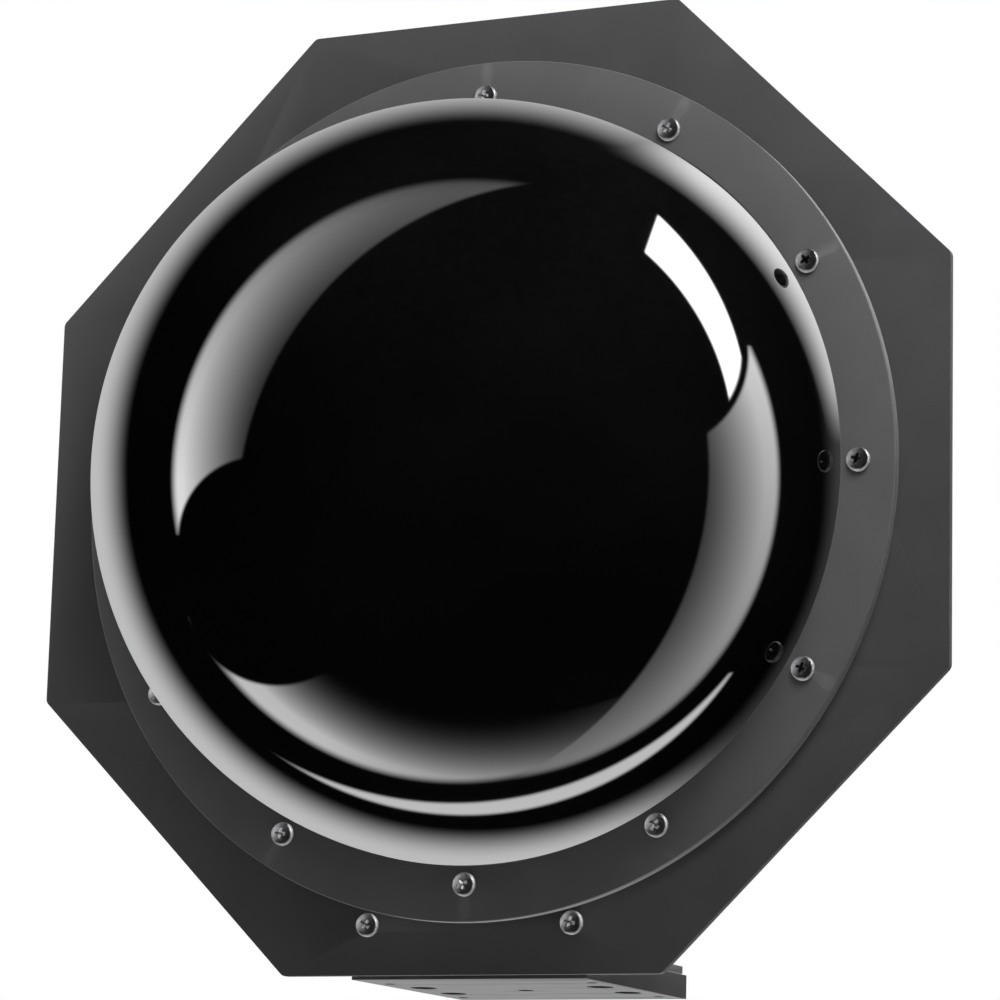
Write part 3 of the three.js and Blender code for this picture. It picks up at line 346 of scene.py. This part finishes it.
INSERT = finish("connector_insert", (0.02, 0.02, 0.021), 0.55, mottle=0.15, grain=0.1)
VENT_BLACK = finish("vent_black", (0.022, 0.022, 0.023), 0.5, mottle=0.12, grain=0.15, grain_scale=1800.0)
BRASS = finish("brass", (0.72, 0.52, 0.24), 0.3, metallic=1.0, mottle=0.12, grain=0.05, stretch=(1, 1, 6))
BOARD = finish("board_green", (0.015, 0.13, 0.05), 0.45, mottle=0.12, mottle_scale=300.0, grain=0.08)
CAST = finish("cast_metal", (0.50, 0.50, 0.51), 0.5, metallic=1.0, mottle=0.12, grain=0.3, grain_scale=800.0)
ARRAY = finish("array_metal", (0.62, 0.62, 0.62), 0.3, metallic=1.0, mottle=0.06, grain=0.08,
               stretch=(1, 1, 30))
MOTOR = finish("motor_black", (0.03, 0.03, 0.032), 0.35, metallic=0.3, mottle=0.12, grain=0.05)
STEEL = finish("steel", (0.56, 0.56, 0.55), 0.26, metallic=1.0, mottle=0.06, grain=0.05, stretch=(1, 20, 1))

SLOT_FINISHES = {
    "plate_coat": PLATE_COAT, "ring_coat": RING_COAT, "dome_gloss": DOME_GLOSS, "gasket_rubber": RUBBER,
    "screw_black": SCREW_BLACK, "housing_coat": HOUSING_COAT, "foot_coat": FOOT_COAT,
    "connector_metal": NICKEL,
    "vent_black": VENT_BLACK, "brass": BRASS, "board_green": BOARD, "cast_metal": CAST, "array_metal": ARRAY,
    "motor_black": MOTOR, "steel": STEEL}


def paint_cad_nodes():
    for row in frame["record"]["subparts"]:
        node = cad_nodes[row["node"]]
        node.data.materials.clear()
        node.data.materials.append(SLOT_FINISHES[row["material_slot"]])
        edges = node.modifiers.new("round", "BEVEL")
        edges.width = 0.3 * MM
        edges.segments = 2
        edges.limit_method = "ANGLE"
        edges.angle_limit = math.radians(40)
        edges.use_clamp_overlap = True
        node.visible_glossy = False


# ---- Mesh helpers -------------------------------------------------------------------------
def to_object(name, bm, crease=32):
    """A mesh object from bmesh, smooth except over edges sharper than the crease angle in degrees."""
    bmesh.ops.recalc_face_normals(bm, faces=bm.faces)
    mesh = bpy.data.meshes.new(name)
    bm.to_mesh(mesh)
    bm.free()
    mesh.shade_smooth()
    mesh.set_sharp_from_angle(angle=math.radians(crease))
    obj = bpy.data.objects.new(name, mesh)
    scene.collection.objects.link(obj)
    return obj


def settle(obj, crease=32):
    """Turns the object's modifiers into plain mesh."""
    graph = bpy.context.evaluated_depsgraph_get()
    mesh = bpy.data.meshes.new_from_object(obj.evaluated_get(graph), depsgraph=graph)
    obj.modifiers.clear()
    obj.data = mesh
    mesh.shade_smooth()
    mesh.set_sharp_from_angle(angle=math.radians(crease))
    return obj


def carve(obj, cutter_bm):
    """Takes the cutters' volume out of the object."""
    cutter = to_object("cutter", cutter_bm)
    modifier = obj.modifiers.new("cut", "BOOLEAN")
    modifier.operation = "DIFFERENCE"
    modifier.solver = "EXACT"
    modifier.object = cutter
    bpy.context.view_layer.update()
    settle(obj)
    bpy.data.objects.remove(cutter)
    return obj


def soften(obj, width, segments=3, angle=35, crease=32):
    """Rounds every edge sharper than the angle."""
    modifier = obj.modifiers.new("round", "BEVEL")
    modifier.width = width
    modifier.segments = segments
    modifier.limit_method = "ANGLE"
    modifier.angle_limit = math.radians(angle)
    modifier.use_clamp_overlap = True
    modifier.harden_normals = False
    bpy.context.view_layer.update()
    return settle(obj, crease)


def spin(bm, profile, facets, centre=(0, 0, 0), axis="y", phase=0.0):
    """Adds a closed profile of (radius, place) points turned round an axis through the centre."""
    def point(radius, place, angle):
        u, v = radius * math.cos(angle), radius * math.sin(angle)
        offset = {"y": (u, place, v), "x": (place, u, v), "z": (u, v, place)}[axis]
        return Vector(centre) + Vector(offset)

    rings = []
    for radius, place in profile:
        if radius < 1e-9:
            rings.append([bm.verts.new(point(0, place, 0))])
        else:
            turns = [phase + 2 * math.pi * i / facets for i in range(facets)]
            rings.append([bm.verts.new(point(radius, place, turn)) for turn in turns])
    pairs = list(zip(rings, rings[1:]))
    if len(rings[0]) > 1 or len(rings[-1]) > 1:
        pairs.append((rings[-1], rings[0]))
    for first, second in pairs:
        if len(first) == 1 and len(second) == 1:
            continue
        for i in range(facets):
            j = (i + 1) % facets
            corners = [first[i % len(first)], first[j % len(first)],
                       second[j % len(second)], second[i % len(second)]]
            unique = [v for k, v in enumerate(corners) if v not in corners[:k]]
            bm.faces.new(unique)


def rounded(points, radii, steps=5, closed=True):
    """A flat outline with its corners rounded: one radius each, 0 to leave a corner sharp."""
    result = []
    count = len(points)
    for i, (here, radius) in enumerate(zip(points, radii)):
        if radius <= 0 or (not closed and i in (0, count - 1)):
            result.append(tuple(here))
            continue
        p = Vector(here)
        a = (Vector(points[i - 1]) - p).normalized()
        b = (Vector(points[(i + 1) % count]) - p).normalized()
        half = a.angle(b) / 2
        reach = radius / math.tan(half)
        centre = p + (a + b).normalized() * (radius / math.sin(half))
        start, end = p + a * reach - centre, p + b * reach - centre
        for k in range(steps + 1):
            turn = start.lerp(end, k / steps).normalized() * radius
            result.append(tuple(centre + turn))
    return result


def rod(bm, axis, radius, start, end, centre, facets=32):
    """Adds a plain cylinder along an axis, at the centre's other two coordinates."""
    at = Vector(centre)
    at["xyz".index(axis)] = 0.0
    spin(bm, [(0, start), (radius, start), (radius, end), (0, end)], facets, at, axis)


def prism(bm, outline, axis, start, end, centre=(0, 0, 0)):
    """Adds a flat outline given thickness along an axis."""
    def point(u, v, place):
        return Vector(centre) + Vector({"y": (u, place, v), "x": (place, u, v), "z": (u, v, place)}[axis])

    first = [bm.verts.new(point(u, v, start)) for u, v in outline]
    second = [bm.verts.new(point(u, v, end)) for u, v in outline]
    bm.faces.new(first)
    bm.faces.new(second)
    for i in range(len(outline)):
        j = (i + 1) % len(outline)
        bm.faces.new((first[i], first[j], second[j], second[i]))


def hull(bm, points):
    verts = [bm.verts.new(p) for p in points]
    bmesh.ops.convex_hull(bm, input=verts)


def octagon(apothem, corner_radius, steps=6):
    reach = apothem / math.cos(math.pi / 8)
    angles = [(i + 0.5) * math.pi / 4 for i in range(8)]
    points = [(reach * math.cos(angle), reach * math.sin(angle)) for angle in angles]
    return rounded(points, [corner_radius] * 8, steps)


def threaded(radius, start, end, pitch, depth):
    """Profile points of a thread's ridges from start to end."""
    points = []
    count = int((end - start) / pitch)
    for i in range(count):
        at = start + i * pitch
        points += [(radius - depth, at), (radius, at + 0.4 * pitch), (radius, at + 0.6 * pitch)]
    return [*points, (radius - depth, start + count * pitch)]


def add_piece(obj, material, body=BODY, replaces=()):
    obj.data.materials.clear()
    obj.data.materials.append(material)
    obj.visible_glossy = False
    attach(obj, body)
    if replaces:
        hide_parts(*replaces)
    return obj


# ---- Screws -------------------------------------------------------------------------------
M4_HEAD, M4_HEIGHT, M4_SHANK = 4.1 * MM, 2.6 * MM, 2.0 * MM


HEAD_STUB = 0.6 * MM


def pan_screw_mesh(name):
    """The head of a pan-head screw with a cross recess. It stands on y = 0 and its shank follows along +Y."""
    crown = []
    for i in range(9):                                   # shallow dome of the crown
        share = i / 8
        crown.append((3.0 * MM * share, -(M4_HEIGHT - 0.42 * MM * share ** 2)))
    for i in range(1, 9):                                # round shoulder down to the rim
        angle = i / 8 * math.pi / 2
        crown.append((3.0 * MM + 1.1 * MM * math.sin(angle), -(0.55 * MM + 1.63 * MM * math.cos(angle))))
    profile = [*crown, (4.1 * MM, -0.12 * MM), (3.98 * MM, 0.0), (M4_SHANK, 0.0), (M4_SHANK, HEAD_STUB),
               (0.0, HEAD_STUB)]
    bm = bmesh.new()
    spin(bm, profile, 64)
    screw = to_object(name, bm, 40)
    for turn in (0, 1):                                  # tapered wings of the recess
        bm = bmesh.new()
        corners = []
        mouth = (2.45 * MM, 0.62 * MM, -M4_HEIGHT - 0.6 * MM)
        bottom = (0.75 * MM, 0.34 * MM, -0.75 * MM)
        for reach, width, depth in (mouth, bottom):
            for u in (-reach, reach):
                for v in (-width, width):
                    corners.append((u, depth, v) if turn == 0 else (v, depth, u))
        hull(bm, corners)
        carve(screw, bm)
    return soften(screw, 0.09 * MM, 2, 50, 40)


def add_screw(head, shank, name, node, turn, facing=-1, mirrored=False):
    """Places a head and its shank where the CAD has the screw; facing is the way the head looks along Y."""
    low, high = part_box(node)
    at = middle(node)
    seat = low.y + M4_HEIGHT if facing < 0 else high.y - M4_HEIGHT
    for label, mesh in ((name, head), (f"{name}_shank", shank)):
        piece = bpy.data.objects.new(label, mesh)
        scene.collection.objects.link(piece)
        piece.location = (at.x, seat, at.z)
        piece.rotation_euler = (0, turn, 0 if facing < 0 else math.pi)
        add_piece(piece, SCREW_BLACK, replaces=(node,) if mesh is head else ())
        piece.visible_glossy = mirrored and mesh is head


def shank_mesh(name, node):
    low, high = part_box(node)
    length = high.y - low.y - M4_HEIGHT
    bm = bmesh.new()
    spin(bm, [(0, HEAD_STUB), *threaded(M4_SHANK, HEAD_STUB, length - 0.7 * MM, 0.7 * MM, 0.22 * MM),
              (M4_SHANK - 0.5 * MM, length), (0.0, length)], 24)
    return to_object(name, bm, 30)


def add_screws():
    turns = (0.30, 0.95, 0.55, 0.20, 1.10, 0.70, 0.40, 0.85, 0.15, 1.25, 0.65, 0.35)
    head = pan_screw_mesh("head_pattern")
    nodes = ("ring_screw_01", "foot_screw_left", "heatsink_screw_1")
    shanks = [shank_mesh(f"{node}_pattern", node) for node in nodes]
    ring_shank, foot_shank, sink_shank = (shank.data for shank in shanks)
    for i in range(1, 13):
        add_screw(head.data, ring_shank, f"cross_screw_{i:02d}", f"ring_screw_{i:02d}", turns[i - 1],
                  mirrored=i in (1, 2, 12))              # the dome mirrors these towards the camera
    for side, turn in (("left", 0.6), ("right", 0.25)):
        add_screw(head.data, foot_shank, f"cross_screw_foot_{side}", f"foot_screw_{side}", turn)
    for i, turn in zip(range(1, 5), (0.4, 1.0, 0.2, 0.8)):
        add_screw(head.data, sink_shank, f"cross_screw_sink_{i}", f"heatsink_screw_{i}", turn, facing=1)
    for pattern in (head, *shanks):
        bpy.data.objects.remove(pattern)


# ---- Dome, ring and plate -----------------------------------------------------------------
DOME_RADIUS, DOME_WALL = 133.0 * MM, 4.0 * MM
SCREW_CIRCLE = 139.7 * MM
HOLE_RADIUS = 2.3 * MM


def ring_holes(bm, start, end):
    for i in range(12):
        angle = i * math.pi / 6
        centre = AXIS + Vector((SCREW_CIRCLE * math.cos(angle), 0, SCREW_CIRCLE * math.sin(angle)))
        rod(bm, "y", HOLE_RADIUS, start, end, centre, 24)


def add_dome():
    back = dome_high.y
    flange_front = back - 2.0 * MM
    centre_y = dome_low.y + DOME_RADIUS
    flange = dome_high.x
    profile = []
    rings = 72
    for i in range(rings + 1):
        angle = i / rings * math.pi / 2
        if centre_y - DOME_RADIUS * math.cos(angle) < flange_front:
            profile.append((DOME_RADIUS * math.sin(angle), centre_y - DOME_RADIUS * math.cos(angle)))
    profile += [(DOME_RADIUS, flange_front), (flange, flange_front), (flange, back)]
    inner = DOME_RADIUS - DOME_WALL
    profile.append((inner, back))
    for i in range(36, -1, -1):
        angle = i / 36 * math.pi / 2
        profile.append((inner * math.sin(angle), centre_y - inner * math.cos(angle)))
    profile[0] = (0.0, dome_low.y)
    profile[-1] = (0.0, centre_y - inner)
    bm = bmesh.new()
    spin(bm, profile, 192, (AXIS.x, 0, AXIS.z))
    dome = to_object("dome_shell", bm, 40)
    bm = bmesh.new()
    ring_holes(bm, flange_front - MM, back + MM)
    carve(dome, bm)
    add_piece(dome, DOME_GLOSS, replaces=("radome",))


def add_ring():
    outer = ring_high.x
    front, back = ring_low.y, ring_high.y
    web = dome_high.y - 2.1 * MM
    inner = DOME_RADIUS + 0.3 * MM
    lip = outer - 4.8 * MM
    points = [(inner, front), (outer, front), (outer, back), (lip, back), (lip, web), (inner, web)]
    bm = bmesh.new()
    spin(bm, rounded(points, [0.35 * MM, 0.45 * MM, 0.15 * MM, 0, 0, 0.1 * MM], 4), 288, (AXIS.x, 0, AXIS.z))
    ring = to_object("retaining_ring", bm, 30)
    bm = bmesh.new()
    ring_holes(bm, front - MM, web + MM)
    carve(ring, bm)
    add_piece(ring, RING_COAT, replaces=("clamp_ring",))


def add_plate():
    bm = bmesh.new()
    prism(bm, octagon(plate_high.x, 3 * MM), "y", plate_low.y, plate_high.y, (AXIS.x, 0, AXIS.z))
    plate = to_object("octagon_plate", bm)
    bm = bmesh.new()
    rod(bm, "y", 126 * MM, plate_low.y - MM, plate_high.y + MM, AXIS, 192)
    ring_holes(bm, plate_low.y - MM, plate_high.y + MM)
    for side in ("left", "right"):
        rod(bm, "y", HOLE_RADIUS, plate_low.y - MM, plate_high.y + MM, middle(f"foot_screw_{side}"), 24)
    carve(plate, bm)
    soften(plate, 0.4 * MM, 3)
    add_piece(plate, PLATE_COAT, replaces=("face_plate",))


# ---- Foot ---------------------------------------------------------------------------------
def foot_places():
    centre_y = plate_low.y + 50.6 * MM
    bolts = [(sx * 33.5 * MM, centre_y + sy * 13 * MM) for sx in (-1, 1) for sy in (-1, 1)]
    corners = [(sx * 38 * MM, centre_y + sy * 31.5 * MM) for sx in (-1, 1) for sy in (-1, 1)]
    return centre_y, bolts, corners


def add_foot_block():
    bm = bmesh.new()
    behind = plate_high.y + 0.1 * MM
    side = [(block_low.y, 0), (block_high.y, 0), (block_high.y, block_high.z), (behind, block_high.z),
            (behind, 1.3 * MM), (block_low.y, 1.3 * MM)]
    prism(bm, side, "x", block_low.x, block_high.x)
    foot = to_object("base_block", bm)
    centre_y, bolts, corners = foot_places()
    bm = bmesh.new()
    for x, y in bolts:
        rod(bm, "z", 4.7 * MM, -MM, block_high.z + MM, (x, y, 0), 48)
    for x, y in corners:
        rod(bm, "z", 1.8 * MM, -MM, block_high.z + MM, (x, y, 0), 24)
    rod(bm, "z", 2.8 * MM, -MM, block_high.z + MM, (0, centre_y, 0), 32)
    carve(foot, bm)
    soften(foot, 0.3 * MM, 3)
    add_piece(foot, FOOT_COAT, replaces=("foot_block",))


def add_bracket():
    front, end = bracket_low.y, bracket_high.y
    bottom, top = bracket_low.z, bracket_high.z
    sheet = 2.8 * MM
    side = rounded([(front, bottom), (end, bottom), (end, bottom + sheet), (front + sheet, bottom + sheet),
                    (front + sheet, top), (front, top)], [0, 0, 0, 1.2 * MM, 0, 0], 5)
    bm = bmesh.new()
    prism(bm, side, "x", bracket_low.x, bracket_high.x)
    bracket = to_object("foot_angle", bm)
    centre_y, bolts, corners = foot_places()
    for sign in (-1, 1):                                 # gussets join the sheet
        bm = bmesh.new()
        inner_y, inner_z = front + sheet, bottom + sheet
        sunk, tip = 0.5 * MM, inner_y + 45 * MM
        rib = [(inner_y - sunk, inner_z - sunk), (tip, inner_z - sunk), (tip, inner_z),
               (inner_y, top), (inner_y - sunk, top)]
        prism(bm, rib, "x", (sign * 18 - 2) * MM, (sign * 18 + 2) * MM)
        extra = to_object("rib", bm)
        modifier = bracket.modifiers.new("join", "BOOLEAN")
        modifier.operation = "UNION"
        modifier.solver = "EXACT"
        modifier.object = extra
        bpy.context.view_layer.update()
        settle(bracket)
        bpy.data.objects.remove(extra)
    bm = bmesh.new()
    for x, y in bolts:
        rod(bm, "z", 5.0 * MM, bottom - MM, top, (x, y, 0), 48)
    for x, y in corners:
        rod(bm, "z", 1.8 * MM, bottom - MM, top, (x, y, 0), 24)
    rod(bm, "z", 3.1 * MM, bottom - MM, top, (0, centre_y, 0), 32)
    for name in ("left", "right"):
        rod(bm, "y", HOLE_RADIUS, front - MM, front + sheet + MM, middle(f"foot_screw_{name}"), 24)
    carve(bracket, bm)
    soften(bracket, 0.3 * MM, 3)
    add_piece(bracket, BRACKET_COAT, replaces=("foot_bracket",))


# ---- Back -----------------------------------------------------------------------------------
def add_connector(node, barrel, tail, pins):
    low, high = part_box(node)
    at = middle(node)
    centre = (at.x, 0, at.z)
    wall, half = tub_high.y + 0.1 * MM, (high.x - low.x) / 2
    face, rim = wall + 3 * MM, high.y
    floor = rim - 2 * MM
    bm = bmesh.new()
    profile = [(0, low.y), (tail, low.y), (tail, wall), (barrel + 1.2 * MM, wall),
               (barrel + 1.2 * MM, face + MM),
               *threaded(barrel, face + 1.6 * MM, rim - 2 * MM, 1.5 * MM, 0.45 * MM),
               (barrel - 0.45 * MM, rim - 0.4 * MM), (barrel - 0.8 * MM, rim), (barrel - 1.8 * MM, rim),
               (barrel - 2 * MM, rim - 0.2 * MM), (barrel - 2 * MM, floor), (0, floor)]
    spin(bm, profile, 64, centre)
    square = [(-half, -half), (half, -half), (half, half), (-half, half)]
    flange = bmesh.new()
    prism(flange, rounded(square, [2.2 * MM] * 4), "y", wall, face, centre)
    plate = soften(to_object(f"{node}_flange", flange), 0.3 * MM)
    shell = to_object(f"{node}_shell", bm, 30)
    add_piece(shell, NICKEL, replaces=(node,))
    add_piece(plate, NICKEL)
    bm = bmesh.new()
    across, raised = barrel - 2.1 * MM, floor + 0.5 * MM
    spin(bm, [(0, floor), (across, floor), (across, raised), (0, raised)], 48, centre)
    add_piece(to_object(f"{node}_insert", bm), INSERT)
    bm = bmesh.new()
    for i in range(pins):
        angle = 2 * math.pi * i / pins + math.pi / 2
        reach = (barrel - 2 * MM) * 0.58
        spin(bm, [(0, floor), (0.65 * MM, floor), (0.65 * MM, rim - 0.6 * MM), (0.4 * MM, rim - 0.3 * MM),
                  (0, rim - 0.3 * MM)], 16,
             (at.x + reach * math.cos(angle), 0, at.z + reach * math.sin(angle)))
    add_piece(to_object(f"{node}_pins", bm), BRASS)
    bm = bmesh.new()
    for sx in (-1, 1):
        for sz in (-1, 1):
            reach = half - 2.6 * MM
            spin(bm, [(0, face), (1.9 * MM, face), (1.9 * MM, face + 0.8 * MM), (1.3 * MM, face + 1.3 * MM),
                      (0.8 * MM, face + 1.3 * MM), (0.8 * MM, face + 0.6 * MM), (0, face + 0.6 * MM)], 24,
                 (at.x + sx * reach, 0, at.z + sz * reach))
    add_piece(to_object(f"{node}_screws", bm), STEEL)


def add_vent():
    low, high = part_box("breather_vent")
    at = middle("breather_vent")
    wall, top = tub_high.y + 0.1 * MM, high.y
    radius = (high.x - low.x) / 2
    bm = bmesh.new()
    spin(bm, [(0, low.y), (2.7 * MM, low.y), (2.7 * MM, wall), (radius - 0.3 * MM, wall),
              (radius, wall + 0.3 * MM),
              (radius, wall + 1.6 * MM), (radius - 1.2 * MM, wall + 1.8 * MM),
              (radius - 1.2 * MM, wall + 2.6 * MM),
              (radius - 0.2 * MM, wall + 2.8 * MM), (radius - 0.2 * MM, top - 1.0 * MM),
              (radius - 1.2 * MM, top),
              (3.2 * MM, top), (2.9 * MM, top - 0.4 * MM), (0, top - 0.4 * MM)], 72, (at.x, 0, at.z))
    vent = to_object("vent_cap", bm, 30)
    bm = bmesh.new()
    for i in range(18):                                  # grip notches round the cap
        angle = 2 * math.pi * i / 18
        reach = radius + 0.1 * MM
        notch = (at.x + reach * math.cos(angle), 0, at.z + reach * math.sin(angle))
        rod(bm, "y", 0.6 * MM, wall + 2.7 * MM, top + MM, notch, 12)
    carve(vent, bm)
    add_piece(vent, VENT_BLACK, replaces=("breather_vent",))


def add_ground():
    low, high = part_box("ground_stud")
    at = middle("ground_stud")
    centre = (at.x, 0, at.z)
    wall = tub_high.y + 0.1 * MM
    bm = bmesh.new()
    spin(bm, [(0, low.y), (2.4 * MM, low.y), (2.4 * MM, wall),
              *threaded(2.5 * MM, wall, high.y - 0.8 * MM, 0.8 * MM, 0.3 * MM),
              (1.7 * MM, high.y), (0, high.y)],
         32, centre)
    add_piece(to_object("ground_thread", bm, 30), BRASS, replaces=("ground_stud",))
    bm = bmesh.new()
    six = [(4.0 * MM * math.cos(k * math.pi / 3), 4.0 * MM * math.sin(k * math.pi / 3)) for k in range(6)]
    prism(bm, six, "y", wall + 1.1 * MM, wall + 4.4 * MM, centre)
    add_piece(soften(to_object("ground_nut", bm), 0.3 * MM), BRASS)
    bm = bmesh.new()
    spin(bm, [(2.5 * MM, wall), (5.2 * MM, wall), (5.2 * MM, wall + MM), (2.5 * MM, wall + MM)], 40, centre)
    add_piece(soften(to_object("ground_washer", bm), 0.15 * MM), STEEL)


paint_cad_nodes()
add_camera()
add_world()
add_lamps()
add_floor()
add_dome()
add_ring()
add_plate()
add_screws()
add_foot_block()
add_bracket()
add_connector("power_connector", 9.5 * MM, 6 * MM, 4)
add_connector("data_connector", 8 * MM, 5 * MM, 8)
add_vent()
add_ground()
